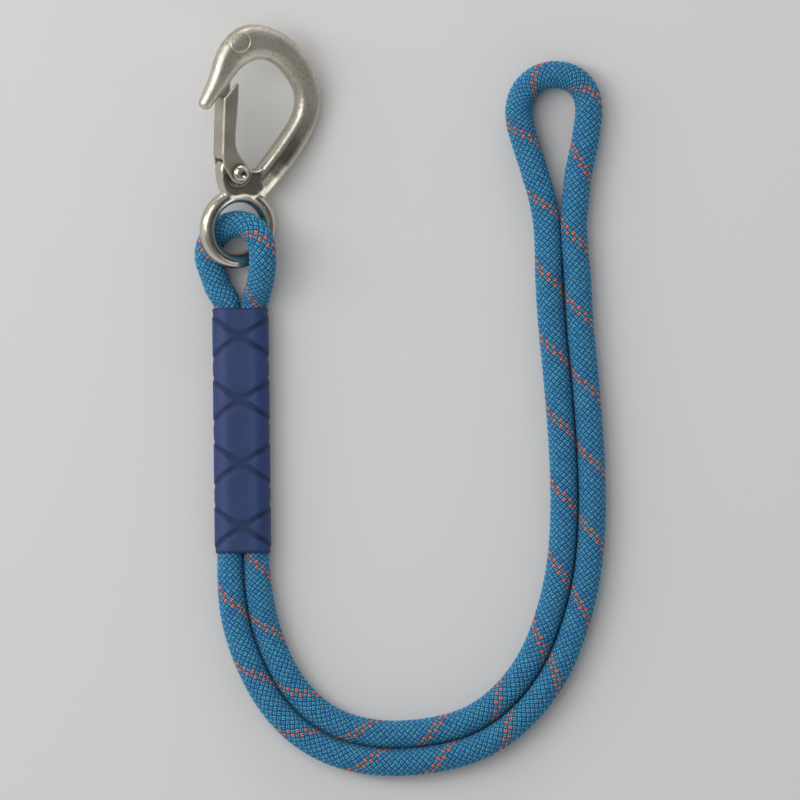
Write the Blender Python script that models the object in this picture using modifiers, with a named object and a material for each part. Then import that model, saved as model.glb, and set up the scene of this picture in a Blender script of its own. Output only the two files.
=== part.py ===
"""Rope lanyard with a forged snap hook, lying flat on a level surface.

One length of braided rope is laid double and closed on itself: its two ends meet inside a long
sleeve, where the strands are stitched side by side under a heat-shrink cover.  A small eye above
the sleeve holds the ring of a snap hook, and a larger open loop is left at the far end.

Metres, +Z up.  +Y runs from the far loop towards the hook, the surface is z = 0, and the origin is
under the middle of the hook.
"""

import math

import bmesh
import bpy
import numpy as np
from mathutils import Matrix, Vector

MM = 0.001
FIT_GAP = 0.3 * MM  # clearance between pieces that touch on the real lanyard

# Rope
ROPE_DIAMETER = 12.0 * MM
SHEATH_WALL = 1.3 * MM
SQUEEZE = 0.933  # the rope's share of its diameter where the stitching and the cover press it
CORE_STRANDS = 3
SHEATH_SIDES = 12

# Sleeve and stitching
SLEEVE_WALL = 0.7 * MM
SLEEVE_BLEND = 14.0 * MM  # length in which the rope goes back to its free shape below the sleeve
THREAD_DIAMETER = 0.7 * MM
STITCH_STEP = 3.7 * MM
STITCH_HALF_WIDTH = 2.4 * MM
STITCH_END_MARGIN = 5.0 * MM

# Hook
RING_MEAN_RADIUS = 14.6 * MM
RING_BAR_WIDTH = 6.8 * MM  # in the ring's plane
RING_BAR_THICKNESS = 6.8 * MM
RING_BAR_ROUNDNESS = 0.85  # 1 is an ellipse, 0 a rectangle
SECTION_SIDES = 16
CROWN_OFFSET = 0.6 * MM  # of the points below from the ring's middle, across the hook
HOOK_TILT = math.radians(27.0)  # the gate side stands up, over the rope's left leg
HOOK_LEAN = math.radians(17.5)  # turn of the tilt axis from +Y towards +X
RING_CENTRE = Vector((-9.4 * MM, -35.45 * MM))  # over the ground, seen from above
TIP_RADIUS = 2.2 * MM
TANG_CLEARANCE = 0.6 * MM  # on each side of the tang, between the gate's flanges

# Gate, pivot and spring
PIVOT = Vector((-2.6 * MM, 10.2 * MM))  # from the ring's crown, in the hook's plane
GATE_WIDTH = 10.4 * MM
GATE_SHEET = 1.0 * MM
GATE_FOLD_RADIUS = 1.1 * MM
LUG_RADIUS = 5.0 * MM
RIVET_DIAMETER = 4.0 * MM
RIVET_HEAD_RADIUS = 3.8 * MM
RIVET_HEAD_HEIGHT = 2.1 * MM
SPRING_WIRE = 0.6 * MM
SPRING_CLEARANCE = 0.7 * MM  # between the rivet and the coil
SPRING_POCKET_CLEARANCE = 2.3 * MM  # between the coil and its pocket's wall
SPRING_TURNS = 1.25
SPRING_RISE = 1.0 * MM

# Middle line between the two strands, in millimetres from the ring's centre, from the sleeve's
# upper mouth down and round to the point where the strands part.
MIDLINE = [
    (1.1, -34.9), (1.2, -41.0), (1.3, -54.5), (1.5, -71.0), (1.7, -88.1), (1.9, -106.5),
    (2.1, -124.5), (2.3, -141.7), (4.5, -167.5), (11.3, -188.9), (22.1, -206.8), (39.7, -220.9),
    (61.8, -226.6), (84.0, -225.6), (105.1, -219.3), (122.5, -205.8), (134.4, -188.7),
    (141.4, -171.0), (145.5, -154.8), (148.0, -133.9), (148.3, -109.9), (146.7, -81.5),
    (145.0, -61.9), (143.1, -42.3), (141.7, -18.3), (140.4, 5.7),
]
SLEEVE_SPANS = 7  # spans of the middle line that the sleeve covers

# Open loop at the far end, from the outer strand round to the inner one.
BIGHT = [
    (147.3, 12.6), (148.5, 23.5), (150.7, 34.0), (152.5, 44.9), (152.9, 54.0), (149.3, 62.4),
    (138.5, 66.9), (127.2, 62.3), (122.7, 52.6), (123.5, 43.6), (126.0, 35.3), (128.5, 27.5),
    (130.9, 19.6), (133.1, 11.5),
]

# Eye through the hook's ring, with heights: over the ring, across its bore and under it again.
EYE = [
    (7.7, -31.0, 6.9), (9.2, -26.0, 9.1), (10.4, -20.8, 12.3), (10.9, -15.4, 15.0),
    (10.8, -9.8, 16.4), (9.4, -4.4, 16.1), (6.0, -0.2, 14.4), (0.8, 1.6, 11.8), (-5.1, 0.4, 9.0),
    (-10.0, -3.5, 6.8), (-12.6, -9.0, 6.0), (-12.5, -14.8, 6.0), (-10.3, -20.8, 6.0),
    (-8.4, -26.2, 6.1), (-5.5, -31.0, 6.4),
]

# Hook's forged bar from the ring round to the nose, in its own plane, in millimetres from the
# crown of the ring's middle circle: x, y, width in the plane, thickness across it, roundness.
HOOK_SPINE = [
    (4.5, -1.3, 10.4, 4.6, 0.55), (8.6, 3.2, 11.1, 6.8, 0.57), (13.3, 9.0, 11.6, 8.8, 0.58),
    (21.8, 19.6, 11.6, 9.2, 0.60), (26.6, 26.7, 11.2, 9.2, 0.60), (29.9, 33.1, 10.8, 9.2, 0.60),
    (31.1, 39.9, 10.7, 9.2, 0.60), (30.2, 46.4, 11.1, 9.2, 0.60), (27.0, 52.8, 12.0, 9.2, 0.60),
    (22.2, 59.0, 12.7, 9.2, 0.62), (16.4, 63.7, 13.4, 9.2, 0.64), (9.5, 66.5, 14.7, 9.1, 0.66),
    (2.9, 66.8, 16.1, 9.1, 0.68), (-2.9, 64.2, 15.6, 9.0, 0.72), (-7.5, 59.1, 13.1, 8.8, 0.75),
    (-10.7, 53.2, 10.2, 8.6, 0.78), (-13.6, 47.8, 8.2, 7.7, 0.82), (-16.6, 43.1, 6.6, 6.8, 0.86),
    (-18.4, 40.2, 5.8, 6.2, 0.90),
]

# Tang and heel between the bar and the ring, round the pivot, from the same point.
TANG_OUTLINE = [
    (-7.6, 0.3), (-9.9, 4.3), (-10.9, 9.1), (-10.7, 13.7), (-9.3, 15.5), (-6.4, 15.8),
    (-3.1, 15.9), (0.6, 14.3), (2.8, 11.7), (6.2, 10.8), (10.5, 11.6), (12.0, 7.6), (9.0, 1.1),
    (5.5, -1.3), (0.0, -0.4), (-4.5, -1.1),
]

# Gate's side outline above its round lug, and the height where its folded back ends.
GATE_TOP = [(-11.5, 43.2), (-9.6, 45.3), (-6.0, 49.8), (-4.5, 50.1), (-4.1, 48.6)]
GATE_INNER_EDGE = [
    (-4.2, 40.0), (-4.6, 33.1), (-5.0, 27.0), (-4.8, 23.0), (-3.8, 19.9), (-1.9, 17.2), (0.4, 14.7),
]
GATE_BACK_END = 16.3


def clear_scene():
    for old in list(bpy.data.objects):
        bpy.data.objects.remove(old, do_unlink=True)


def new_collection(name):
    collection = bpy.data.collections.new(name)
    bpy.context.scene.collection.children.link(collection)
    return collection


def principled(name, colour, roughness, metallic=0.0):
    material = bpy.data.materials.new(name)
    material.use_nodes = True
    shader = material.node_tree.nodes["Principled BSDF"]
    shader.inputs["Base Color"].default_value = (*colour, 1.0)
    shader.inputs["Roughness"].default_value = roughness
    shader.inputs["Metallic"].default_value = metallic
    return material


def add_object(name, data, material, collection, parent=None):
    thing = bpy.data.objects.new(name, data)
    collection.objects.link(thing)
    if material:
        data.materials.append(material)
    thing.parent = parent
    return thing


def add_cutter(name, data, parent):
    thing = add_object(name, data, None, cutters, parent)
    thing.hide_render = True
    thing.display_type = "WIRE"
    return thing


def add_boolean(thing, other, operation):
    cut = thing.modifiers.new(f"{operation.lower()} {other.name}", "BOOLEAN")
    cut.operation = operation
    cut.object = other


def shade(mesh, degrees=40.0):
    mesh.shade_smooth()
    mesh.set_sharp_from_angle(angle=math.radians(degrees))


def through(points, cuts):
    """A natural cubic spline through the points, with `cuts` samples to each span."""
    points = np.array(points, float)
    last = len(points) - 1
    spans = np.linalg.norm(np.diff(points[:, :2], axis=0), axis=1)
    system = np.eye(last + 1)
    right = np.zeros_like(points)
    for i in range(1, last):
        system[i, i - 1 : i + 2] = spans[i - 1], 2 * (spans[i - 1] + spans[i]), spans[i]
        after = (points[i + 1] - points[i]) / spans[i]
        before = (points[i] - points[i - 1]) / spans[i - 1]
        right[i] = 6 * (after - before)
    bend = np.linalg.solve(system, right)
    samples = []
    for i in range(last):
        for t in np.arange(cuts[i]) / cuts[i]:
            a = 1 - t
            curved = (a**3 - a) * bend[i] + (t**3 - t) * bend[i + 1]
            samples.append(a * points[i] + t * points[i + 1] + spans[i] ** 2 / 6 * curved)
    samples.append(points[last])
    return np.array(samples)


def directions(points):
    ahead = np.gradient(points, axis=0)
    return ahead / np.linalg.norm(ahead, axis=1)[:, None]


def smooth_step(value):
    value = np.clip(value, 0.0, 1.0)
    return value * value * (3 - 2 * value)


def rope_route():
    """The rope's centre line from one end, in the sleeve, to the other, and its girth there."""
    line = through(np.array(MIDLINE) * MM, [1] * (len(MIDLINE) - 1)) + np.array(RING_CENTRE)
    ahead = directions(line)
    outward = np.column_stack([ahead[:, 1], -ahead[:, 0]])
    along = np.concatenate([[0], np.cumsum(np.linalg.norm(np.diff(line, axis=0), axis=1))])
    free = smooth_step((along - along[SLEEVE_SPANS]) / SLEEVE_BLEND)
    girth = SQUEEZE + (1 - SQUEEZE) * free
    half_gap = girth * ROPE_DIAMETER / 2 + FIT_GAP / 2
    height = SLEEVE_HEIGHT + (ROPE_DIAMETER / 2 - SLEEVE_HEIGHT) * free
    outer = np.column_stack([line + outward * half_gap[:, None], height, girth])
    inner = np.column_stack([line - outward * half_gap[:, None], height, girth])

    bight = [(x, y, ROPE_DIAMETER / 2 / MM) for x, y in BIGHT]
    bight = np.array(bight) * MM + np.array([*RING_CENTRE, 0])
    eye = np.array(EYE) * MM + np.array([*RING_CENTRE, 0])
    bight = np.column_stack([bight, np.ones(len(bight))])
    eye = np.column_stack([eye, np.ones(len(eye))])

    meeting = 4  # the point of the middle line beside which the two ends meet
    step = np.append(ahead[meeting] * FIT_GAP, [0, 0])
    first, last = outer[meeting] + step, outer[meeting] - step
    points = np.vstack(
        [first, outer[meeting + 1 :], bight, inner[::-1], eye, outer[:meeting], last]
    )
    cuts = np.ones(len(points) - 1, int)
    eye_start = len(points) - len(eye) - meeting - 1
    cuts[eye_start : eye_start + len(eye)] = 2
    crown = len(outer) - meeting + 2
    cuts[crown : crown + 7] = 2
    route = through(points, cuts)
    return route[:, :3], np.clip(route[:, 3], SQUEEZE, 1.0)


def tube(name, points, radius, material, resolution, collection, parent=None, girth=None):
    curve = bpy.data.curves.new(name, "CURVE")
    curve.dimensions = "3D"
    curve.bevel_depth = radius
    curve.bevel_resolution = resolution
    curve.use_fill_caps = True
    spline = curve.splines.new("POLY")
    spline.points.add(len(points) - 1)
    for i, point in enumerate(points):
        spline.points[i].co = (*point, 1.0)
        spline.points[i].radius = 1.0 if girth is None else girth[i]
    return add_object(name, curve, material, collection, parent)


def side_offsets(points):
    """Two directions across the line at each point that turn with it and don't twist."""
    ahead = directions(points)
    across = np.cross(ahead[0], [0, 0, 1.0])
    sides = []
    for direction in ahead:
        across = across - direction * np.dot(across, direction)
        across = across / np.linalg.norm(across)
        sides.append((across, np.cross(direction, across)))
    return sides


def make_rope(material_sheath, material_core):
    route, girth = rope_route()
    sheath = tube(
        "rope_sheath",
        route,
        ROPE_DIAMETER / 2,
        material_sheath,
        (SHEATH_SIDES - 4) // 2,
        lanyard,
        girth=girth,
    )
    sheath.data.use_fill_caps = False
    wall = sheath.modifiers.new("sheath wall", "SOLIDIFY")
    wall.thickness = SHEATH_WALL
    wall.offset = -1.0
    sides = side_offsets(route)
    apart = math.sin(math.pi / CORE_STRANDS)
    bore = (SQUEEZE * ROPE_DIAMETER / 2 - SHEATH_WALL) * math.cos(math.pi / SHEATH_SIDES)
    strand = (2 * apart * (bore - FIT_GAP) - FIT_GAP) / (1 + apart)
    reach = (strand + FIT_GAP) / 2 / apart
    for number in range(CORE_STRANDS):
        turn = 2 * math.pi * number / CORE_STRANDS
        points = [
            point + reach * (math.cos(turn) * across + math.sin(turn) * up)
            for point, (across, up) in zip(route, sides)
        ]
        name = f"core_strand_{number + 1}"
        tube(name, points, strand / 2, material_core, 2, lanyard)


def sleeve_frame():
    """Middle of the sleeve, with Z along it towards the far loop and X across the strands."""
    top = Vector((*(np.array(MIDLINE[0]) * MM), 0)) + RING_CENTRE.to_3d()
    bottom = Vector((*(np.array(MIDLINE[SLEEVE_SPANS]) * MM), 0)) + RING_CENTRE.to_3d()
    ahead = (bottom - top).normalized()
    across = Vector((-ahead.y, ahead.x, 0))
    turn = Matrix((across, ahead.cross(across), ahead)).transposed().to_4x4()
    middle = (top + bottom) / 2 + Vector((0, 0, SLEEVE_HEIGHT))
    return Matrix.Translation(middle) @ turn, (bottom - top).length


def make_sleeve(material):
    frame, length = sleeve_frame()
    strand = SQUEEZE * ROPE_DIAMETER / 2
    half_gap = strand + FIT_GAP / 2
    radius = strand + FIT_GAP + SLEEVE_WALL
    outline = []
    for side in (1, -1):
        for degrees in range(-90, 91, 15):
            angle = math.radians(degrees)
            x = side * (half_gap + radius * math.cos(angle))
            outline.append((x, side * radius * math.sin(angle)))
    curve = bpy.data.curves.new("heat_shrink_sleeve", "CURVE")
    curve.dimensions = "2D"
    curve.fill_mode = "NONE"
    curve.extrude = length / 2
    spline = curve.splines.new("POLY")
    spline.points.add(len(outline) - 1)
    for point, (x, y) in zip(spline.points, outline):
        point.co = (x, y, 0, 1)
    spline.use_cyclic_u = True
    sleeve = add_object("heat_shrink_sleeve", curve, material, lanyard)
    sleeve.matrix_world = frame
    wall = sleeve.modifiers.new("cover wall", "SOLIDIFY")
    wall.thickness = SLEEVE_WALL
    wall.offset = -1.0
    return sleeve


def make_stitching(material):
    """A zigzag row on each face, lying in the valley between the two strands."""
    frame, length = sleeve_frame()
    strand = SQUEEZE * ROPE_DIAMETER / 2
    beside = strand + FIT_GAP / 2 - STITCH_HALF_WIDTH
    height = math.sqrt(strand**2 - beside**2) + FIT_GAP + THREAD_DIAMETER / 2
    start = length / 2 - STITCH_END_MARGIN
    count = int(2 * start / STITCH_STEP)
    for name, face in (("splice_stitching_front", 1), ("splice_stitching_back", -1)):
        points = [
            (STITCH_HALF_WIDTH * (-1) ** i, face * height, -start + i * STITCH_STEP)
            for i in range(count + 1)
        ]
        row = tube(name, points, THREAD_DIAMETER / 2, material, 2, lanyard)
        row.matrix_world = frame


def flat_piece(name, outline, half_thickness, rounding=0.0, smooth=False):
    """A mesh of the closed outline, extruded to both sides of the XY plane."""
    curve = bpy.data.curves.new(name, "CURVE")
    curve.dimensions = "2D"
    curve.fill_mode = "BOTH"
    curve.extrude = half_thickness - rounding
    curve.bevel_depth = rounding
    curve.bevel_resolution = 1
    curve.offset = -rounding
    curve.resolution_u = 3
    spline = curve.splines.new("BEZIER" if smooth else "POLY")
    if smooth:
        spline.bezier_points.add(len(outline) - 1)
        for point, (x, y) in zip(spline.bezier_points, outline):
            point.co = (x, y, 0)
            point.handle_left_type = point.handle_right_type = "AUTO"
    else:
        spline.points.add(len(outline) - 1)
        for point, (x, y) in zip(spline.points, outline):
            point.co = (x, y, 0, 1)
    spline.use_cyclic_u = True
    guide = add_object(f"{name} outline", curve, None, cutters)
    graph = bpy.context.evaluated_depsgraph_get()
    mesh = bpy.data.meshes.new_from_object(guide.evaluated_get(graph))
    bpy.data.objects.remove(guide, do_unlink=True)
    work = bmesh.new()
    work.from_mesh(mesh)
    bmesh.ops.remove_doubles(work, verts=work.verts, dist=0.001 * MM)
    bmesh.ops.recalc_face_normals(work, faces=work.faces)
    work.to_mesh(mesh)
    work.free()
    mesh.name = name
    return mesh


def rounded_section(width, thickness, roundness):
    """Points round a section between a rectangle and an ellipse: across the bar and through it."""
    points = []
    for k in range(SECTION_SIDES):
        turn = 2 * math.pi * (k + 0.5) / SECTION_SIDES
        u, w = math.cos(turn), math.sin(turn)
        u = math.copysign(abs(u) ** roundness, u) * width / 2
        w = math.copysign(abs(w) ** roundness, w) * thickness / 2
        points.append((u, w))
    return points


def hook_bar_mesh():
    """Rounded sections along the bar, drawn in to a blunt round nose."""
    scale = np.array([MM, MM, MM, MM, 1.0])
    spine = through(np.array(HOOK_SPINE) * scale, [2] * (len(HOOK_SPINE) - 1))
    ahead = directions(spine[:, :2])
    stations = [(row, 1.0, aim) for row, aim in zip(spine, ahead)]
    for degrees in (30, 60, 80):
        tip = spine[-1].copy()
        tip[:2] += ahead[-1] * TIP_RADIUS * math.sin(math.radians(degrees))
        stations.append((tip, math.cos(math.radians(degrees)), ahead[-1]))
    work = bmesh.new()
    loops = []
    for (x, y, width, thickness, roundness), share, aim in stations:
        section = rounded_section(width * share, thickness * share, roundness)
        loops.append([work.verts.new((x + aim[1] * u, y - aim[0] * u, w)) for u, w in section])
    for near, far in zip(loops, loops[1:]):
        for k in range(SECTION_SIDES):
            following = (k + 1) % SECTION_SIDES
            work.faces.new((near[k], near[following], far[following], far[k]))
    work.faces.new(loops[0])
    work.faces.new(loops[-1])
    bmesh.ops.recalc_face_normals(work, faces=work.faces)
    mesh = bpy.data.meshes.new("hook_body")
    work.to_mesh(mesh)
    work.free()
    return mesh


def turned(thing, steps):
    screw = thing.modifiers.new("turned", "SCREW")
    screw.steps = screw.render_steps = steps
    screw.use_merge_vertices = True
    screw.merge_threshold = 0.01 * MM


def cylinder_mesh(name, radius, depth, segments=24):
    work = bmesh.new()
    bmesh.ops.create_cone(
        work, cap_ends=True, segments=segments, radius1=radius, radius2=radius, depth=depth
    )
    mesh = bpy.data.meshes.new(name)
    work.to_mesh(mesh)
    work.free()
    return mesh


def box_mesh(name, low, high):
    work = bmesh.new()
    bmesh.ops.create_cube(work, size=1.0)
    for vertex in work.verts:
        vertex.co = [a + (b - a) * (c + 0.5) for a, b, c in zip(low, high, vertex.co)]
    mesh = bpy.data.meshes.new(name)
    work.to_mesh(mesh)
    work.free()
    return mesh


def make_hook_body(material, crown):
    body = add_object("hook_body", hook_bar_mesh(), material, lanyard, crown)

    section = rounded_section(RING_BAR_WIDTH, RING_BAR_THICKNESS, RING_BAR_ROUNDNESS)
    edges = [(k, (k + 1) % SECTION_SIDES) for k in range(SECTION_SIDES)]
    profile = bpy.data.meshes.new("hook ring")
    profile.from_pydata([(RING_MEAN_RADIUS + u, 0, -w) for u, w in section], edges, [])
    ring = add_cutter("hook ring", profile, crown)
    ring.location = (-CROWN_OFFSET, -RING_MEAN_RADIUS, 0)
    turned(ring, 44)
    add_boolean(body, ring, "UNION")

    outline = [(x * MM, y * MM) for x, y in TANG_OUTLINE]
    tang = flat_piece("hook tang", outline, TANG_THICKNESS / 2, 0.8 * MM, smooth=True)
    add_boolean(body, add_cutter("hook tang", tang, crown), "UNION")

    depth = GATE_WIDTH
    pocket = cylinder_mesh("spring pocket", SPRING_POCKET_RADIUS, depth)
    pocket = add_cutter("spring pocket", pocket, crown)
    pocket.location = (*PIVOT, SPRING_POCKET_FLOOR + depth / 2)
    add_boolean(body, pocket, "DIFFERENCE")
    leg = SPRING_COIL_RADIUS
    slot = SPRING_WIRE / 2 + 2 * FIT_GAP
    low = (PIVOT.x - leg - slot, PIVOT.y, SPRING_POCKET_FLOOR)
    high = (PIVOT.x - leg + slot, PIVOT.y + 2 * SPRING_POCKET_RADIUS, GATE_WIDTH)
    add_boolean(body, add_cutter("spring slot", box_mesh("slot", low, high), crown), "DIFFERENCE")
    hole = cylinder_mesh("rivet hole", RIVET_DIAMETER / 2 + FIT_GAP, 4 * GATE_WIDTH)
    hole = add_cutter("rivet hole", hole, crown)
    hole.location = (*PIVOT, 0)
    add_boolean(body, hole, "DIFFERENCE")
    return body


def make_gate(material, gate_pivot):
    """A folded channel: the back faces outwards, and two flanges end in lugs round the rivet."""
    pivot = PIVOT / MM
    lug = LUG_RADIUS / MM
    arc = [math.radians(degrees) for degrees in range(50, -151, -20)]
    lug_points = [(pivot.x + lug * math.cos(a), pivot.y + lug * math.sin(a)) for a in arc]
    back = [(-10.6, pivot.y + 2.9), (GATE_TOP[0][0], GATE_BACK_END + 1.8)]
    outline = GATE_TOP + GATE_INNER_EDGE + lug_points + back
    outline = [((x - pivot.x) * MM, (y - pivot.y) * MM) for x, y in outline]
    mesh = flat_piece("gate", outline, GATE_WIDTH / 2, GATE_FOLD_RADIUS)
    gate = add_object("gate", mesh, material, lanyard, gate_pivot)

    inner = GATE_TOP[0][0] + GATE_SHEET / MM - pivot.x
    end = GATE_BACK_END - pivot.y
    room = [(-30, -30), (-30, end), (inner, end), (inner, 60), (30, 60), (30, -30)]
    room = [(x * MM, y * MM) for x, y in room]
    room = flat_piece("gate channel", room, GATE_WIDTH / 2 - GATE_SHEET)
    add_boolean(gate, add_cutter("gate channel", room, gate_pivot), "DIFFERENCE")
    hole = cylinder_mesh("gate hole", RIVET_DIAMETER / 2 + FIT_GAP, 4 * GATE_WIDTH)
    add_boolean(gate, add_cutter("gate hole", hole, gate_pivot), "DIFFERENCE")
    return gate


def make_rivet(material, crown):
    """A turned pin with a domed head set over each lug."""
    seat = GATE_WIDTH / 2 + FIT_GAP
    dome = [
        (
            RIVET_HEAD_RADIUS * math.sin(math.radians(a)),
            seat + RIVET_HEAD_HEIGHT * math.cos(math.radians(a)),
        )
        for a in range(0, 91, 18)
    ]
    profile = dome + [(RIVET_DIAMETER / 2, seat), (RIVET_DIAMETER / 2, -seat)]
    profile += [(r, -z) for r, z in reversed(dome)]
    mesh = bpy.data.meshes.new("gate_rivet")
    edges = [(i, i + 1) for i in range(len(profile) - 1)]
    mesh.from_pydata([(r, 0, z) for r, z in profile], edges, [])
    rivet = add_object("gate_rivet", mesh, material, lanyard, crown)
    rivet.location = (*PIVOT, 0)
    turned(rivet, 20)
    return rivet


def make_spring(material, gate_pivot):
    """A torsion spring round the rivet, with its long leg up the gate's channel."""
    top = SPRING_POCKET_FLOOR + FIT_GAP + SPRING_WIRE / 2 + SPRING_RISE
    radius = SPRING_COIL_RADIUS
    points = [(-radius - 3.2 * MM, 19.0 * MM, top), (-radius - 0.8 * MM, 12.0 * MM, top)]
    points += [(-radius, 8.0 * MM, top), (-radius, 3.0 * MM, top)]
    steps = int(12 * SPRING_TURNS)
    for i in range(steps + 1):
        turn = math.pi + 2 * math.pi * SPRING_TURNS * i / steps
        height = top - SPRING_RISE * i / steps
        points.append((radius * math.cos(turn), radius * math.sin(turn), height))
    points.append((points[-1][0] + radius, points[-1][1], points[-1][2]))
    return tube("gate_spring", points, SPRING_WIRE / 2, material, 2, lanyard, gate_pivot)


def lay_hook_down(hook, crown, body):
    """Tilts the hook and sets it at the height where its lowest edge meets the ground."""
    axis = Vector((math.sin(HOOK_LEAN), math.cos(HOOK_LEAN), 0))
    turn = Matrix.Rotation(HOOK_TILT, 4, axis)
    lowest = min((turn @ (crown.location + vertex.co)).z for vertex in body.data.vertices)
    hook.matrix_world = Matrix.Translation((*RING_CENTRE, -lowest)) @ turn


def add_empty(name, parent=None, location=(0, 0, 0)):
    empty = bpy.data.objects.new(name, None)
    lanyard.objects.link(empty)
    empty.empty_display_size = 0.01
    empty.parent = parent
    empty.location = location
    return empty


# Sizes that follow from the ones at the top
SLEEVE_HEIGHT = SQUEEZE * ROPE_DIAMETER / 2 + FIT_GAP + SLEEVE_WALL
TANG_THICKNESS = GATE_WIDTH - 2 * (GATE_SHEET + TANG_CLEARANCE)
SPRING_COIL_RADIUS = RIVET_DIAMETER / 2 + SPRING_CLEARANCE + SPRING_WIRE / 2
SPRING_POCKET_RADIUS = SPRING_COIL_RADIUS + SPRING_WIRE / 2 + SPRING_POCKET_CLEARANCE
SPRING_POCKET_FLOOR = GATE_WIDTH / 2 - GATE_SHEET - SPRING_WIRE - SPRING_RISE - 2 * FIT_GAP

clear_scene()
lanyard = new_collection("snap hook rope lanyard")
cutters = new_collection("cutters")

sheath_blue = principled("braided polyester, blue", (0.03, 0.19, 0.42), 0.75)
core_white = principled("nylon core", (0.75, 0.74, 0.70), 0.8)
cover_navy = principled("heat-shrink rubber, navy", (0.03, 0.05, 0.13), 0.55)
thread_navy = principled("bonded thread", (0.05, 0.07, 0.16), 0.7)
forged_steel = principled("forged stainless steel", (0.55, 0.53, 0.47), 0.3, 1.0)
sheet_steel = principled("stainless sheet", (0.58, 0.57, 0.52), 0.28, 1.0)
rivet_steel = principled("polished rivet", (0.55, 0.52, 0.48), 0.15, 1.0)
spring_steel = principled("spring wire", (0.45, 0.45, 0.45), 0.3, 1.0)

make_rope(sheath_blue, core_white)
make_sleeve(cover_navy)
make_stitching(thread_navy)

hook = add_empty("hook frame")
crown = add_empty("ring crown", hook, (CROWN_OFFSET, RING_MEAN_RADIUS, 0))
hook_body = make_hook_body(forged_steel, crown)
gate_pivot = add_empty("gate pivot", crown, (*PIVOT, 0))
make_gate(sheet_steel, gate_pivot)
make_rivet(rivet_steel, crown)
make_spring(spring_steel, gate_pivot)
lay_hook_down(hook, crown, hook_body)

for mesh in bpy.data.meshes:
    shade(mesh)
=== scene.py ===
import math

import bpy
import numpy as np
from mathutils import Matrix, Vector


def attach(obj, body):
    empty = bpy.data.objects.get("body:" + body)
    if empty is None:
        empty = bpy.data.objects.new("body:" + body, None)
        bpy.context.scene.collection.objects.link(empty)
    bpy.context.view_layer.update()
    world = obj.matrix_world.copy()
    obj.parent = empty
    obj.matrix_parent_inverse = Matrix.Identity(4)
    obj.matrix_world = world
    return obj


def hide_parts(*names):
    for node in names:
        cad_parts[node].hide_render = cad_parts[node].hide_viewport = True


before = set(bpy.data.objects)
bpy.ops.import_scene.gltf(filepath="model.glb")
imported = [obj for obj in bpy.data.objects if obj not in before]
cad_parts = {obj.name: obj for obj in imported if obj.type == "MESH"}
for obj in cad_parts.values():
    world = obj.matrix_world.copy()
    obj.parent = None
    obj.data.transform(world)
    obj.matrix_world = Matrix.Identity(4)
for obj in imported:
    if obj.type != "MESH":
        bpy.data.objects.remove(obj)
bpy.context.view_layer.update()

# ---------------------------------------------------------------- camera, floor and light
# The lanyard lies on a pale table and is seen from straight above, through a long lens.  A soft
# room and one broad lamp light it; strips at the sides draw bright lines on the steel.
view_width = 0.3488
focus_height = 0.008  # level at which the view is exactly that wide
view_centre = (0.06135, -0.11045)
camera_data = bpy.data.cameras.new("camera")
camera_data.lens = 1500
camera_data.sensor_width = 36
camera = bpy.data.objects.new("camera", camera_data)
view_distance = view_width * camera_data.lens / camera_data.sensor_width
camera.location = (*view_centre, focus_height + view_distance)
bpy.context.scene.collection.objects.link(camera)
bpy.context.scene.camera = camera
bpy.context.scene.view_settings.view_transform = "Standard"

bpy.ops.object.select_all(action="DESELECT")
bpy.ops.mesh.primitive_plane_add(size=6, location=(*view_centre, -0.0004))
floor = bpy.context.object
floor.name = "table_top"
pale = bpy.data.materials.new("pale table top")
pale.use_nodes = True
pale_shader = pale.node_tree.nodes["Principled BSDF"]
pale_shader.inputs["Base Color"].default_value = (0.62, 0.62, 0.62, 1)
pale_shader.inputs["Roughness"].default_value = 0.9
pale_shader.inputs["Specular IOR Level"].default_value = 0.1
floor.data.materials.append(pale)

for name, power, size, place in (
    ("broad lamp", 22, (1.8, 1.8), (-0.9, 0.35, 1.8)),
    ("left strip", 7, (0.3, 1.4), (-1.3, 0.25, 0.9)),
    ("right strip", 2, (0.3, 1.0), (1.3, -0.9, 0.6)),
    ("far strip", 5, (1.2, 0.2), (0.2, 1.5, 0.55)),
):
    lamp_data = bpy.data.lights.new(name, "AREA")
    lamp_data.shape = "RECTANGLE"
    lamp_data.size, lamp_data.size_y = size
    lamp_data.energy = power
    lamp = bpy.data.objects.new(name, lamp_data)
    lamp.location = place
    lamp.rotation_euler = Vector(place).to_track_quat("Z", "Y").to_euler()
    bpy.context.scene.collection.objects.link(lamp)

# The room is bright low down and darker overhead, with one dark screen on the right that the flat
# faces of the steel mirror.
room = bpy.data.worlds.new("soft room")
room.use_nodes = True
bpy.context.scene.world = room
room_nodes, room_links = room.node_tree.nodes, room.node_tree.links
room_place = room_nodes.new("ShaderNodeTexCoord")
room_axes = room_nodes.new("ShaderNodeSeparateXYZ")
room_ramp = room_nodes.new("ShaderNodeValToRGB")
for stop, level in ((0.0, 0.95), (0.25, 0.95), (0.6, 0.42), (1.0, 0.30)):
    element = room_ramp.color_ramp.elements.new(stop) if 0 < stop < 1 else (
        room_ramp.color_ramp.elements[0 if stop == 0 else -1])
    element.position = stop
    element.color = (level, level * 0.985, level * 0.96, 1)
toward_screen = room_nodes.new("ShaderNodeVectorMath")
toward_screen.operation = "DOT_PRODUCT"
toward_screen.inputs[1].default_value = Vector((0.80, -0.30, 0.52)).normalized()
screen = room_nodes.new("ShaderNodeMapRange")
screen.interpolation_type = "SMOOTHSTEP"
screen.inputs["From Min"].default_value = math.cos(math.radians(36))
screen.inputs["From Max"].default_value = math.cos(math.radians(14))
screen.inputs["To Min"].default_value = 1.0
screen.inputs["To Max"].default_value = 0.06
shaded = room_nodes.new("ShaderNodeMix")
shaded.data_type = "RGBA"
shaded.blend_type = "MULTIPLY"
shaded.inputs[0].default_value = 1.0
room_links.new(room_place.outputs["Generated"], room_axes.inputs[0])
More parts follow.
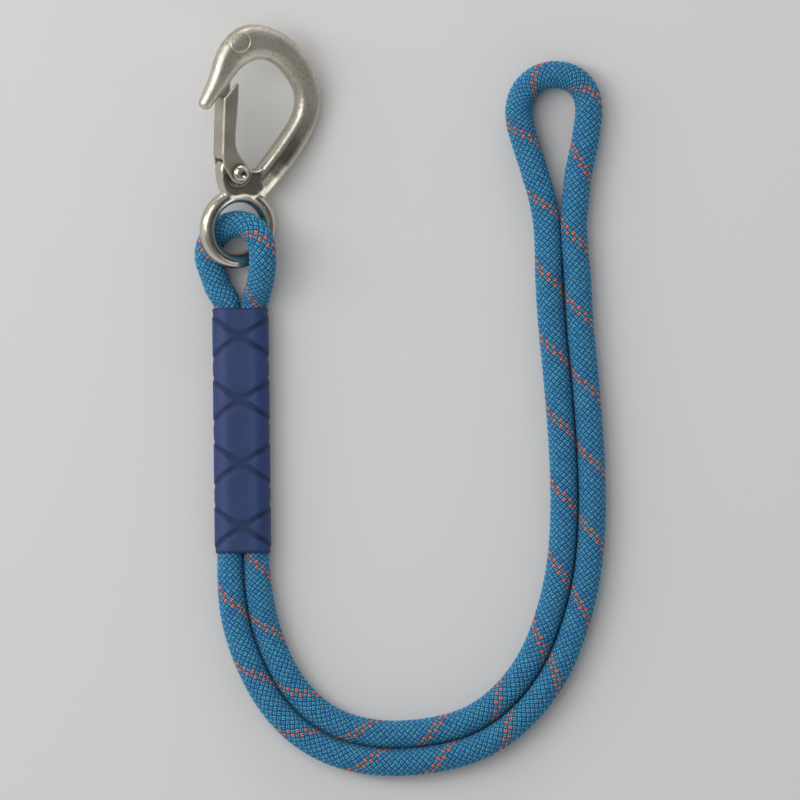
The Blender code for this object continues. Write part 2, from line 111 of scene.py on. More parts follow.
room_links.new(room_place.outputs["Generated"], toward_screen.inputs[0])
room_links.new(toward_screen.outputs["Value"], screen.inputs["Value"])
room_links.new(room_axes.outputs["Z"], room_ramp.inputs["Fac"])
room_links.new(room_ramp.outputs["Color"], shaded.inputs[6])
room_links.new(screen.outputs["Result"], shaded.inputs[7])
room_links.new(shaded.outputs[2], room_nodes["Background"].inputs["Color"])
room_nodes["Background"].inputs["Strength"].default_value = 0.95

# ---------------------------------------------------------------- rope
# Twelve-millimetre braided polyester, laid double in one closed loop: its ends meet inside the
# sleeve.  Twenty-four carriers of two yarn ends each cross one over one; two carry the tracer.
rope_diameter = 0.012
fit_gap = 0.0003
squeeze = 0.933  # the rope's share of its diameter inside the sleeve
sleeve_wall = 0.0007
sleeve_blend = 0.014
cuts_per_span = 14
sleeve_spans = 7  # spans of the middle line that the sleeve covers
ring_centre = np.array([-0.0094, -0.03545])
sleeve_height = squeeze * rope_diameter / 2 + fit_gap + sleeve_wall

# Middle line between the two strands, from the sleeve's upper mouth to where they part.
midline = ring_centre + 0.001 * np.array([
    (1.1, -34.9), (1.2, -41.0), (1.3, -54.5), (1.5, -71.0), (1.7, -88.1), (1.9, -106.5),
    (2.1, -124.5), (2.3, -141.7), (4.5, -167.5), (11.3, -188.9), (22.1, -206.8), (39.7, -220.9),
    (61.8, -226.6), (84.0, -225.6), (105.1, -219.3), (122.5, -205.8), (134.4, -188.7),
    (141.4, -171.0), (145.5, -154.8), (148.0, -133.9), (148.3, -109.9), (146.7, -81.5),
    (145.0, -61.9), (143.1, -42.3), (141.7, -18.3), (140.4, 5.7),
])
# Open loop at the far end, from the outer strand round to the inner one.
open_loop = ring_centre + 0.001 * np.array([
    (147.3, 12.6), (148.5, 23.5), (150.7, 34.0), (152.5, 44.9), (152.9, 54.0), (149.3, 62.4),
    (138.5, 66.9), (127.2, 62.3), (122.7, 52.6), (123.5, 43.6), (126.0, 35.3), (128.5, 27.5),
    (130.9, 19.6), (133.1, 11.5),
])
# Eye through the hook's ring, with heights.
eye = np.array([*ring_centre, 0]) + 0.001 * np.array([
    (7.7, -31.0, 6.9), (9.2, -26.0, 9.1), (10.4, -20.8, 12.3), (10.9, -15.4, 15.0),
    (10.8, -9.8, 16.4), (9.4, -4.4, 16.1), (6.0, -0.2, 14.4), (0.8, 1.6, 11.8), (-5.1, 0.4, 9.0),
    (-10.0, -3.5, 6.8), (-12.6, -9.0, 6.0), (-12.5, -14.8, 6.0), (-10.3, -20.8, 6.0),
    (-8.4, -26.2, 6.1), (-5.5, -31.0, 6.4),
])


def smooth_line(points, cuts):
    """A natural cubic spline through the points, with `cuts` samples to each span."""
    points = np.array(points, float)
    last = len(points) - 1
    spans = np.linalg.norm(np.diff(points[:, :2], axis=0), axis=1)
    system = np.eye(last + 1)
    right = np.zeros_like(points)
    for i in range(1, last):
        system[i, i - 1 : i + 2] = spans[i - 1], 2 * (spans[i - 1] + spans[i]), spans[i]
        after = (points[i + 1] - points[i]) / spans[i]
        right[i] = 6 * (after - (points[i] - points[i - 1]) / spans[i - 1])
    bend = np.linalg.solve(system, right)
    samples = []
    for i in range(last):
        for t in np.arange(cuts) / cuts:
            a = 1 - t
            curved = (a**3 - a) * bend[i] + (t**3 - t) * bend[i + 1]
            samples.append(a * points[i] + t * points[i + 1] + spans[i] ** 2 / 6 * curved)
    samples.append(points[last])
    return np.array(samples)


def directions(points):
    """Unit tangents of a line of points."""
    ahead = np.gradient(points, axis=0)
    return ahead / np.linalg.norm(ahead, axis=1)[:, None]


def rope_route():
    """The rope's middle line with its girth there, from one butted end round to the other."""
    line = smooth_line(midline, 1)
    ahead = directions(line)
    outward = np.column_stack([ahead[:, 1], -ahead[:, 0]])
    along = np.concatenate([[0], np.cumsum(np.linalg.norm(np.diff(line, axis=0), axis=1))])
    free = np.clip((along - along[sleeve_spans]) / sleeve_blend, 0, 1)
    free = free * free * (3 - 2 * free)
    girth = squeeze + (1 - squeeze) * free
    half_gap = girth * rope_diameter / 2 + fit_gap / 2
    height = sleeve_height + (rope_diameter / 2 - sleeve_height) * free
    outer = np.column_stack([line + outward * half_gap[:, None], height, girth])
    inner = np.column_stack([line - outward * half_gap[:, None], height, girth])
    far = np.array([(x, y, rope_diameter / 2, 1) for x, y in open_loop])
    near = np.column_stack([eye, np.ones(len(eye))])
    meeting = 4  # the point of the middle line beside which the two ends meet
    step = np.append(ahead[meeting] * fit_gap, [0, 0])
    first, last = outer[meeting] + step, outer[meeting] - step
    points = [first, outer[meeting + 1 :], far, inner[::-1], near, outer[:meeting], last]
    route = smooth_line(np.vstack(points), cuts_per_span)
    return route[:, :3], np.clip(route[:, 3], squeeze, 1.0)


route, girth = rope_route()
distance = np.concatenate([[0], np.cumsum(np.linalg.norm(np.diff(route, axis=0), axis=1))])
rope_length = float(distance[-1])

# Places along the rope where the tracer comes round to the top, with its count of turns there.
tracer_turns = np.array([
    (0.0, -2.3), (0.075, 0), (0.173, 3), (0.365, 9), (0.430, 11), (0.495, 13), (0.528, 14),
    (0.552, 15), (0.577, 16), (0.609, 17), (0.897, 26), (0.961, 28), (0.989, 29), (1.104, 33),
    (1.134, 34), (1.168, 35), (rope_length, 37.5),
])
carriers = 24
one_way = carriers // 2  # carriers that wind in one direction
per_ring = 3 * one_way  # vertices in one ring: three steps for each carrier of one direction
yarn_rise = 0.00058  # how far a yarn stands above the crossing beside it
rings_per_turn = 3 * carriers
ring = np.arange(
    math.ceil(tracer_turns[0, 1] * rings_per_turn), math.floor(tracer_turns[-1, 1] * rings_per_turn)
)
side = np.arange(per_ring)
place = 2 * side[None, :] + (ring % 2)[:, None]
p = (place - ring[:, None]) // 2
q = -(place + ring[:, None]) // 2
first_on_top = (p // 3 + q // 3) % 2 == 0
inner_p, inner_q = p % 3 != 0, q % 3 != 0
edge_rise = 0.22  # share of yarn_rise at a float's edge
raised = np.where(inner_p & inner_q, 1.0, np.where(inner_p ^ inner_q, edge_rise, 0.0))
# Where the inner points sit between two edges, along (True) and across (False) a float.
reach = {True: np.array([0, 0.23, 0.77]), False: np.array([0, 0.35, 0.65])}
across_a = np.where(first_on_top, reach[False][p % 3], reach[True][p % 3])
across_b = np.where(first_on_top, reach[True][q % 3], reach[False][q % 3])
lay_a = p // 3 + np.where(inner_p & inner_q, across_a, (p % 3) / 3)
lay_b = q // 3 + np.where(inner_p & inner_q, across_b, (q % 3) / 3)
turn = 2 * math.pi * (lay_a - lay_b) / carriers
along = np.interp(-(lay_a + lay_b) / carriers, tracer_turns[:, 1], tracer_turns[:, 0])
centre = np.stack([np.interp(along, distance, route[:, i]) for i in range(3)], -1)
heading = directions(route)
heading = np.stack([np.interp(along, distance, heading[:, i]) for i in range(3)], -1)
heading /= np.linalg.norm(heading, axis=-1)[..., None]
aside = np.cross(heading, [0, 0, 1.0])
aside /= np.linalg.norm(aside, axis=-1)[..., None]
upward = np.cross(aside, heading)
radius = np.interp(along, distance, girth) * rope_diameter / 2 - yarn_rise * (1 - raised)
radial = np.cos(turn)[..., None] * aside + np.sin(turn)[..., None] * upward
skin = (centre + radius[..., None] * radial).reshape(-1, 3)


def rope_vertex(row, m):
    """Index of the vertex at step m round ring `row`; every second step has one."""
    return row * per_ring + (m % (2 * per_ring)) // 2


faces, weave = [], []
lay = np.stack([lay_a, lay_b], -1).reshape(-1, 2)
for row in range(len(ring) - 1):
    m = 2 * side + ring[row] % 2
    after = rope_vertex(row + 1, m + 1)
    if row + 2 < len(ring):
        corners = [(row, m), (row + 1, m - 1), (row + 2, m), (row + 1, m + 1)]
        faces.append(np.stack([rope_vertex(r, n) for r, n in corners], -1))
        weave.append(np.stack([lay[rope_vertex(r, n)]
                               + one_way * (n // (2 * per_ring))[:, None] * [1, -1]
                               for r, n in corners], 1))
faces, weave = np.concatenate(faces), np.concatenate(weave)
last_row = len(ring) - 1
ends = []
for m in range(0, 2 * per_ring, 2):
    low, high = m + ring[0] % 2, m + ring[last_row] % 2
    ends.append([rope_vertex(0, low), rope_vertex(1, low + 1), rope_vertex(0, low + 2)])
    ends.append([
        rope_vertex(last_row, high), rope_vertex(last_row, high + 2),
        rope_vertex(last_row - 1, high + 1),
    ])
ends.append([int(v) for v in side])
ends.append([int(last_row * per_ring + v) for v in side[::-1]])
rope_mesh = bpy.data.meshes.new("braided_sheath")
rope_mesh.from_pydata(skin.tolist(), [], faces.tolist() + [[int(v) for v in end] for end in ends])
layer = rope_mesh.uv_layers.new(name="yarn lay")
end_lay = np.concatenate([lay[[int(v) for v in end]] for end in ends])
lay_offset = 600  # keeps the coordinates positive, and is a whole number of turns
layer.data.foreach_set("uv", (np.concatenate([weave.reshape(-1, 2), end_lay]) + lay_offset).ravel())
rope_mesh.shade_smooth()
rope = bpy.data.objects.new("braided_sheath", rope_mesh)
bpy.context.scene.collection.objects.link(rope)


def math_node(tree, operation, *values):
    """A Math node whose inputs are sockets or numbers; it gives back its output."""
    node = tree.nodes.new("ShaderNodeMath")
    node.operation = operation
    for socket, value in zip(node.inputs, values):
        if isinstance(value, (int, float)):
            socket.default_value = value
        else:
            tree.links.new(value, socket)
    return node.outputs[0]


def mix_colour(tree, amount, first, second, blend="MIX"):
    node = tree.nodes.new("ShaderNodeMix")
    node.data_type = "RGBA"
    node.blend_type = blend
    for socket, value in zip((node.inputs[0], *node.inputs[6:8]), (amount, first, second)):
        if isinstance(value, (int, float)):
            socket.default_value = value
        elif isinstance(value, tuple):
            socket.default_value = (*value, 1)
        else:
            tree.links.new(value, socket)
    return node.outputs[2]


def new_finish(name, roughness=0.5, metallic=0.0):
    """A material with a Principled BSDF; it gives back the material, its tree and the shader."""
    finish = bpy.data.materials.new(name)
    finish.use_nodes = True
    shader = finish.node_tree.nodes["Principled BSDF"]
    shader.inputs["Roughness"].default_value = roughness
    shader.inputs["Metallic"].default_value = metallic
    return finish, finish.node_tree, shader


def noise(tree, vector, scale, detail=2.0, rough=0.5):
    node = tree.nodes.new("ShaderNodeTexNoise")
    node.inputs["Scale"].default_value = scale
    node.inputs["Detail"].default_value = detail
    node.inputs["Roughness"].default_value = rough
    tree.links.new(vector, node.inputs["Vector"])
    return node.outputs["Fac"]


def add_bump(tree, shader, height, distance, strength=1.0):
    bump = tree.nodes.new("ShaderNodeBump")
    bump.inputs["Distance"].default_value = distance
    bump.inputs["Strength"].default_value = strength
    tree.links.new(height, bump.inputs["Height"])
    tree.links.new(bump.outputs["Normal"], shader.inputs["Normal"])


sheath, tree, shader = new_finish("blue braid with orange tracer", 0.6)
shader.inputs["Specular IOR Level"].default_value = 0.22
shader.inputs["Sheen Weight"].default_value = 0.06
shader.inputs["Sheen Tint"].default_value = (0.5, 0.75, 1.0, 1)
lay_map = tree.nodes.new("ShaderNodeUVMap")
lay_map.uv_map = "yarn lay"
axes = tree.nodes.new("ShaderNodeSeparateXYZ")
tree.links.new(lay_map.outputs[0], axes.inputs[0])
u, v = axes.outputs["X"], axes.outputs["Y"]
carrier_u, carrier_v = math_node(tree, "FLOOR", u), math_node(tree, "FLOOR", v)
over = math_node(tree, "FLOORED_MODULO", math_node(tree, "ADD", carrier_u, carrier_v), 2.0)
under = math_node(tree, "SUBTRACT", 1.0, over)


def pick(if_first, if_second):
    return math_node(
        tree, "ADD", math_node(tree, "MULTIPLY", if_first, under),
        math_node(tree, "MULTIPLY", if_second, over),
    )


across = pick(math_node(tree, "FRACT", u), math_node(tree, "FRACT", v))
lengthwise = pick(math_node(tree, "FRACT", v), math_node(tree, "FRACT", u))
yarn_end = math_node(tree, "FRACT", math_node(tree, "MULTIPLY", across, 2.0))
arch = math_node(tree, "SINE", math_node(tree, "MULTIPLY", yarn_end, math.pi))
end_arch = math_node(tree, "POWER", arch, 1.3)
body_arch = math_node(tree, "POWER", math_node(
    tree, "SINE", math_node(tree, "MULTIPLY", lengthwise, math.pi)), 0.75)
flank = math_node(tree, "POWER", math_node(
    tree, "SINE", math_node(tree, "MULTIPLY", across, math.pi)), 0.35)
crown = math_node(tree, "MULTIPLY", body_arch, flank)
depth = math_node(tree, "MULTIPLY", crown, math_node(
    tree, "ADD", 0.05, math_node(tree, "MULTIPLY", end_arch, 0.95)))

# Filaments run along each float, so their noise is long in that direction.
grain_vector = tree.nodes.new("ShaderNodeCombineXYZ")
tree.links.new(math_node(tree, "MULTIPLY", across, 26.0), grain_vector.inputs[0])
tree.links.new(math_node(tree, "MULTIPLY", lengthwise, 3.0), grain_vector.inputs[1])
tree.links.new(math_node(tree, "ADD", carrier_u, math_node(
    tree, "MULTIPLY", carrier_v, 7.3)), grain_vector.inputs[2])
filaments = noise(tree, grain_vector.outputs[0], 1.0, 2.0, 0.6)

turn_u = math_node(tree, "FLOORED_MODULO", carrier_u, one_way)
turn_v = math_node(tree, "FLOORED_MODULO", carrier_v, one_way)
turn_v = math_node(tree, "ADD", turn_v, 20.0)  # so that the two directions get different dyes
dye = tree.nodes.new("ShaderNodeTexWhiteNoise")
dye.noise_dimensions = "1D"
tree.links.new(pick(turn_u, turn_v), dye.inputs["W"])
float_dye = tree.nodes.new("ShaderNodeTexWhiteNoise")
float_dye.noise_dimensions = "2D"
cell_vector = tree.nodes.new("ShaderNodeCombineXYZ")
tree.links.new(carrier_u, cell_vector.inputs[0])
tree.links.new(carrier_v, cell_vector.inputs[1])
tree.links.new(cell_vector.outputs[0], float_dye.inputs["Vector"])
shift = math_node(tree, "ADD", math_node(tree, "MULTIPLY", dye.outputs["Value"], 0.45), math_node(
    tree, "MULTIPLY", float_dye.outputs["Value"], 0.3))
shift = math_node(tree, "ADD", shift, math_node(tree, "MULTIPLY", filaments, 0.35))
blue = mix_colour(tree, shift, (0.020, 0.24, 0.66), (0.17, 0.66, 1.0))
blue = mix_colour(tree, math_node(tree, "MULTIPLY", float_dye.outputs["Value"], 0.35), blue,
                  (0.03, 0.52, 0.62))
orange = mix_colour(tree, filaments, (0.85, 0.17, 0.09), (1.0, 0.52, 0.30))
tracer = math_node(tree, "MULTIPLY", under, math_node(
    tree, "MULTIPLY", math_node(tree, "GREATER_THAN", turn_u, 1.5),
    math_node(tree, "LESS_THAN", turn_u, 3.5)))
yarn = mix_colour(tree, tracer, blue, orange)
# Painted shade: the yarn colour is darkened towards the low gaps round each float and between its
# two yarn ends, where shade falls; the same depth also drives the bump.
painted_gap_shade = math_node(tree, "SUBTRACT", 1.0, math_node(tree, "POWER", depth, 0.85))
tree.links.new(mix_colour(tree, painted_gap_shade, yarn, (0.001, 0.014, 0.075)), shader.inputs["Base Color"])
height = math_node(tree, "ADD", depth, math_node(tree, "MULTIPLY", filaments, 0.16))
add_bump(tree, shader, height, 0.0005, 1.0)
rope_mesh.materials.append(sheath)
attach(rope, "lanyard")
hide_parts("rope_sheath")

# ---------------------------------------------------------------- core
# Twisted nylon strands carry the load inside the sheath.  They only show where the rope is cut.
core, tree, shader = new_finish("twisted nylon", 0.7)
place_node = tree.nodes.new("ShaderNodeTexCoord")
strand_wave = tree.nodes.new("ShaderNodeTexWave")
strand_wave.bands_direction = "DIAGONAL"
strand_wave.inputs["Scale"].default_value = 260
strand_wave.inputs["Distortion"].default_value = 1.5
tree.links.new(place_node.outputs["Object"], strand_wave.inputs["Vector"])
tree.links.new(mix_colour(tree, strand_wave.outputs["Fac"], (0.62, 0.60, 0.54), (0.84, 0.83, 0.79)),
               shader.inputs["Base Color"])
add_bump(tree, shader, strand_wave.outputs["Fac"], 0.0003)


def repaint(node_name, finish):
    """Gives a kept CAD piece its finished material."""
    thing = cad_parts[node_name]
    thing.data.materials.clear()
    thing.data.materials.append(finish)


core_names = [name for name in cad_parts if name.startswith("core_strand")]
for name in core_names:
    repaint(name, core)

# ---------------------------------------------------------------- stitching
# Waxed polyester thread sewn zigzag through both strands, a row on each face, under the sleeve.
thread, tree, shader = new_finish("waxed thread", 0.5)
place_node = tree.nodes.new("ShaderNodeTexCoord")
thread_wave = tree.nodes.new("ShaderNodeTexWave")
thread_wave.bands_direction = "DIAGONAL"
thread_wave.inputs["Scale"].default_value = 900
tree.links.new(place_node.outputs["Object"], thread_wave.inputs["Vector"])
tree.links.new(mix_colour(tree, thread_wave.outputs["Fac"], (0.02, 0.03, 0.07), (0.07, 0.09, 0.17)),
               shader.inputs["Base Color"])
add_bump(tree, shader, thread_wave.outputs["Fac"], 0.0001)
stitch_names = ["splice_stitching_front", "splice_stitching_back"]
for name in stitch_names:
    repaint(name, thread)

# ---------------------------------------------------------------- sleeve
# Heat-shrink rubber cover, shrunk tight over the stitched splice.  Its grip pattern is a row of
# low pads with pointed pads between them at the edges, divided by shallow crossing channels.
sleeve_top = Vector((*midline[0], sleeve_height))
sleeve_end = Vector((*midline[sleeve_spans], sleeve_height))
sleeve_axis = (sleeve_end - sleeve_top).normalized()
sleeve_side = Vector((-sleeve_axis.y, sleeve_axis.x, 0))
sleeve_length = (sleeve_end - sleeve_top).length
strand_radius = squeeze * rope_diameter / 2
strand_apart = strand_radius + fit_gap / 2
cover_radius = strand_radius + fit_gap + sleeve_wall
channel_depth = 0.00042
valley_depth = 0.0001  # between the two strands
rim_width = 0.0006  # thinner band at each mouth
pad_pitch = 0.0277
first_pad = -0.0014  # from the upper mouth to the middle of the first pad
channel_slope = 0.62  # of the crossing channels, along the sleeve against round it
channel_width = 0.0024
channel_edge = 0.0008
worn_share, worn_reach, worn_blend = 0.5, 0.0045, 0.005  # channels are shallower in mid-face
pad_radius = (0.0158, 0.0114)  # limit of a pad round and along the sleeve, which rounds its ends

around, lengths = 120, 200
half_flat = strand_apart
quarter = math.pi * cover_radius / 2
lap = 4 * half_flat + 4 * quarter
cover_points, cover_faces, cover_relief = [], [], []


def cover_outline(travel):
    """Point and outward direction on the cover's outline, `travel` round from its front middle."""
    travel = travel % lap
    front = travel < half_flat or travel > lap - half_flat
    if front:
        x = travel if travel < half_flat else travel - lap
        return (x, cover_radius), (0, 1)
    if travel < half_flat + 2 * quarter:
        angle = math.pi / 2 - (travel - half_flat) / cover_radius
        return (
            (half_flat + cover_radius * math.cos(angle), cover_radius * math.sin(angle)),
            (math.cos(angle), math.sin(angle)),
        )
    if travel < 3 * half_flat + 2 * quarter:
        return (2 * half_flat + 2 * quarter - travel, -cover_radius), (0, -1)
    angle = -math.pi / 2 - (travel - 3 * half_flat - 2 * quarter) / cover_radius
    return (
        (-half_flat + cover_radius * math.cos(angle), cover_radius * math.sin(angle)),
        (math.cos(angle), math.sin(angle)),
    )


def soft_edge(value, width):
    value = min(max(value / width + 0.5, 0), 1)
    return value * value * (3 - 2 * value)


def pad_height(off_middle, down):
    """1 on a pad, 0 in a channel; off_middle goes round the cover from a face's middle."""
    step = (down - first_pad) / pad_pitch
    to_crossing = (step - math.floor(step) - 0.5) * pad_pitch
    to_pad = (step - round(step)) * pad_pitch
    past_line = (abs(to_crossing) - channel_slope * off_middle) / math.hypot(1, channel_slope)
    rounded = (1 - math.hypot(off_middle / pad_radius[0], to_pad / pad_radius[1])) * pad_radius[1]
    pad = soft_edge(min(past_line - channel_width / 2, rounded), channel_edge)
    point = soft_edge(-past_line - channel_width / 2, channel_edge)
    worn = worn_share * (1 - soft_edge(off_middle - worn_reach, worn_blend))
    return max(pad, point, worn)


for j in range(lengths + 1):
    down = sleeve_length * j / lengths
    mouth = min(down, sleeve_length - down)
    for i in range(around):
        travel = lap * i / around
        (x, z), (nx, nz) = cover_outline(travel)
        off_middle = travel if travel < lap / 2 else lap - travel
        off_middle = min(off_middle, lap / 2 - off_middle)
        sink = channel_depth * (1 - pad_height(off_middle, down))
        valley = valley_depth * math.cos(min(abs(x) / half_flat, 1) * math.pi / 2) * abs(nz)
        rim = 1 - soft_edge(mouth - rim_width, channel_edge)
        sink = max(sink, channel_depth * rim) + valley
        x, z = x - nx * sink, z - nz * sink
        point = sleeve_top + sleeve_axis * down + sleeve_side * x + Vector((0, 0, z))
        cover_points.append(point)
        cover_relief.append(1 - sink / channel_depth)
for j in range(lengths):
    for i in range(around):
        k = (i + 1) % around
        low, high = j * around, (j + 1) * around
        cover_faces.append((low + i, low + k, high + k, high + i))
cover_mesh = bpy.data.meshes.new("grip_sleeve")
cover_mesh.from_pydata(cover_points, [], cover_faces)
relief = cover_mesh.attributes.new("relief", "FLOAT", "POINT")
relief.data.foreach_set("value", np.clip(cover_relief, 0, 1))
cover = bpy.data.objects.new("grip_sleeve", cover_mesh)
bpy.context.scene.collection.objects.link(cover)
bpy.ops.object.select_all(action="DESELECT")
bpy.context.view_layer.objects.active = cover
cover.select_set(True)
bpy.ops.object.mode_set(mode="EDIT")
bpy.ops.mesh.select_all(action="SELECT")
bpy.ops.mesh.normals_make_consistent(inside=False)
bpy.ops.object.mode_set(mode="OBJECT")
wall = cover.modifiers.new("wall", "SOLIDIFY")
wall.thickness = 0.00035
wall.offset = -1
bpy.ops.object.modifier_apply(modifier="wall")
cover.data.shade_smooth()
cover.data.set_sharp_from_angle(angle=math.radians(60))

rubber, tree, shader = new_finish("navy rubber", 0.48)
shader.inputs["Specular IOR Level"].default_value = 0.3
place_node = tree.nodes.new("ShaderNodeTexCoord")
cloud = noise(tree, place_node.outputs["Object"], 120, 3.0, 0.6)
fine = noise(tree, place_node.outputs["Object"], 2600, 3.0, 0.7)
navy = mix_colour(tree, cloud, (0.010, 0.040, 0.115), (0.030, 0.042, 0.160))
# Painted shade: the navy is darkened where the cover lies low, in the crossing channels, the mouth
# bands and the slight valley between the strands, where shade falls.
relief_node = tree.nodes.new("ShaderNodeAttribute")
relief_node.attribute_name = "relief"
painted_channel_shade = math_node(tree, "SUBTRACT", 1.0, relief_node.outputs["Fac"])
navy = mix_colour(tree, math_node(tree, "MULTIPLY", painted_channel_shade, 0.85), navy, (0.004, 0.011, 0.050))
tree.links.new(navy, shader.inputs["Base Color"])
rough = math_node(tree, "ADD", 0.40, math_node(tree, "MULTIPLY", cloud, 0.22))
tree.links.new(rough, shader.inputs["Roughness"])
add_bump(tree, shader, fine, 0.00008, 0.8)
cover.data.materials.append(rubber)
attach(cover, "lanyard")
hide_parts("heat_shrink_sleeve")

# ---------------------------------------------------------------- hook body
# One stainless forging: a ring for the rope's eye, a straight leg, and a bow that ends in a blunt
# nose.  It was trimmed, tumbled and polished, which left every edge softly rounded.


def steel_grain():
    """A node group for all the steel: slow colour clouds, fine scratches and small pits."""
    group = bpy.data.node_groups.new("steel grain", "ShaderNodeTree")
    group.interface.new_socket("Vector", in_out="INPUT", socket_type="NodeSocketVector")
    for name, value in (("Cloud scale", 90.0), ("Pit scale", 900.0)):
        socket = group.interface.new_socket(name, in_out="INPUT", socket_type="NodeSocketFloat")
        socket.default_value = value
    for name in ("Cloud", "Pits", "Scratches"):
        group.interface.new_socket(name, in_out="OUTPUT", socket_type="NodeSocketFloat")
    start, end = group.nodes.new("NodeGroupInput"), group.nodes.new("NodeGroupOutput")
    cloud_node = group.nodes.new("ShaderNodeTexNoise")
    cloud_node.inputs["Detail"].default_value = 3.0
    group.links.new(start.outputs["Vector"], cloud_node.inputs["Vector"])
    group.links.new(start.outputs["Cloud scale"], cloud_node.inputs["Scale"])
    group.links.new(cloud_node.outputs["Fac"], end.inputs["Cloud"])
    pit_node = group.nodes.new("ShaderNodeTexNoise")
    pit_node.inputs["Detail"].default_value = 4.0
    pit_node.inputs["Roughness"].default_value = 0.65
    group.links.new(start.outputs["Vector"], pit_node.inputs["Vector"])
    group.links.new(start.outputs["Pit scale"], pit_node.inputs["Scale"])
    group.links.new(pit_node.outputs["Fac"], end.inputs["Pits"])
    stretch = group.nodes.new("ShaderNodeMapping")
    stretch.inputs["Rotation"].default_value = (0.3, 0.2, 0.5)
    stretch.inputs["Scale"].default_value = (3200, 160, 900)
    group.links.new(start.outputs["Vector"], stretch.inputs["Vector"])
    scratch_node = group.nodes.new("ShaderNodeTexNoise")
    scratch_node.inputs["Scale"].default_value = 1.0
    group.links.new(stretch.outputs["Vector"], scratch_node.inputs["Vector"])
    group.links.new(scratch_node.outputs["Fac"], end.inputs["Scratches"])
    return group


grain_group = steel_grain()


def steel(name, dark, light, roughness, spread, pit_depth, cloud_scale=90.0, pit_scale=900.0,
          blasted=None):
    """A steel finish; `blasted` is the middle of an area left grainy, with its radius."""
    finish, tree, shader = new_finish(name, roughness, 1.0)
    place_node = tree.nodes.new("ShaderNodeTexCoord")
    grain = tree.nodes.new("ShaderNodeGroup")
    grain.node_tree = grain_group
    grain.inputs["Cloud scale"].default_value = cloud_scale
    grain.inputs["Pit scale"].default_value = pit_scale
    tree.links.new(place_node.outputs["Object"], grain.inputs["Vector"])
    base = mix_colour(tree, grain.outputs["Cloud"], dark, light)
    mixed = math_node(tree, "ADD", grain.outputs["Cloud"], grain.outputs["Scratches"])
    rough = math_node(tree, "ADD", roughness - spread, math_node(tree, "MULTIPLY", mixed, spread))
    height = math_node(tree, "ADD", grain.outputs["Pits"], math_node(
        tree, "MULTIPLY", grain.outputs["Scratches"], 0.2))
    if blasted:
        middle, middle_radius = blasted
        fade_outer, fade_inner = 1.15, 0.75  # where the grainy area ends and is full, in radii
        extra_rough, extra_relief = 0.17, 7.0
        speck_above, speck_share = 0.6, 0.5
        away = tree.nodes.new("ShaderNodeVectorMath")
        away.operation = "DISTANCE"
        tree.links.new(place_node.outputs["Object"], away.inputs[0])
        away.inputs[1].default_value = middle
        area = tree.nodes.new("ShaderNodeMapRange")
        area.interpolation_type = "SMOOTHSTEP"
        area.inputs["From Min"].default_value = middle_radius * fade_outer
        area.inputs["From Max"].default_value = middle_radius * fade_inner
        tree.links.new(away.outputs["Value"], area.inputs["Value"])
        area = area.outputs["Result"]
        rough = math_node(tree, "ADD", rough, math_node(tree, "MULTIPLY", area, extra_rough))
        height = math_node(tree, "MULTIPLY", height, math_node(
            tree, "ADD", 1.0, math_node(tree, "MULTIPLY", area, extra_relief)))
        speck = math_node(tree, "MULTIPLY", area, math_node(
            tree, "GREATER_THAN", grain.outputs["Pits"], speck_above))
        speck = math_node(tree, "MULTIPLY", speck, speck_share)
        base = mix_colour(tree, speck, base, (0.16, 0.14, 0.12))
    tree.links.new(base, shader.inputs["Base Color"])
    tree.links.new(rough, shader.inputs["Roughness"])
    add_bump(tree, shader, height, pit_depth, 0.8)
    return finish


def merged_copy(node_name, name):
    """A copy of a CAD node's mesh with its loose triangles joined, left selected and active."""
    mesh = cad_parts[node_name].data.copy()
    mesh.name = name
    thing = bpy.data.objects.new(name, mesh)
    bpy.context.scene.collection.objects.link(thing)
    bpy.ops.object.select_all(action="DESELECT")
    bpy.context.view_layer.objects.active = thing
    thing.select_set(True)
    mesh.materials.clear()
    bpy.ops.object.mode_set(mode="EDIT")
    bpy.ops.mesh.select_all(action="SELECT")
    bpy.ops.mesh.remove_doubles(threshold=0.00001)
    bpy.ops.object.mode_set(mode="OBJECT")
    return thing


def soften(thing, grid, rounds):
    """Rounds every edge as tumbling does: an even fine mesh, then a few rounds of smoothing."""
    even = thing.modifiers.new("even mesh", "REMESH")
    even.mode = "VOXEL"
    even.voxel_size = grid
    bpy.ops.object.modifier_apply(modifier="even mesh")
    tumbled = thing.modifiers.new("tumbled", "SMOOTH")
    tumbled.factor = 0.5
    tumbled.iterations = rounds
    bpy.ops.object.modifier_apply(modifier="tumbled")
    thing.data.shade_smooth()


forging = merged_copy("hook_body", "forged_hook")
soften(forging, 0.0004, 16)
forged = steel("forged stainless", (0.42, 0.395, 0.33), (0.70, 0.66, 0.57), 0.24, 0.10, 0.00002,
               blasted=((-0.002, 0.042, 0.013), 0.042))
forging.data.materials.append(forged)
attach(forging, "hook")
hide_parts("hook_body")

# ---------------------------------------------------------------- blank panel
# A raised oval border stands on the bow's front face, where a forging carries its mark.  It is
# part of the forging, and the panel inside it is left blank.
hook_axes = Matrix(((0.900862, 0.031258, 0.432978), (0.031258, 0.990144, -0.136518),
                    (-0.432978, 0.136518, 0.891006)))
ring_height = 0.012085  # of the ring's middle above the table
hook_place = Matrix.Translation((*ring_centre, ring_height)) @ hook_axes.to_4x4()
bpy.ops.object.select_all(action="DESELECT")
bpy.ops.mesh.primitive_torus_add(
    major_radius=0.0043, minor_radius=0.00042, major_segments=72, minor_segments=12
)
panel = bpy.context.object
panel.name = panel.data.name = "blank_panel_border"
bpy.ops.object.mode_set(mode="EDIT")
bpy.ops.mesh.select_all(action="SELECT")
bpy.ops.transform.resize(value=(1.06, 0.96, 1.0))
bpy.ops.object.mode_set(mode="OBJECT")
lift = 0.02  # the border starts this far in front of the hook and is laid on its face
panel_place = hook_place @ Matrix.Translation((-0.0031, 0.0821, lift))
panel_place = panel_place @ Matrix.Rotation(math.radians(25), 4, "Z")
panel.data.transform(panel_place)
down_face = -(hook_axes @ Vector((0, 0, 1)))
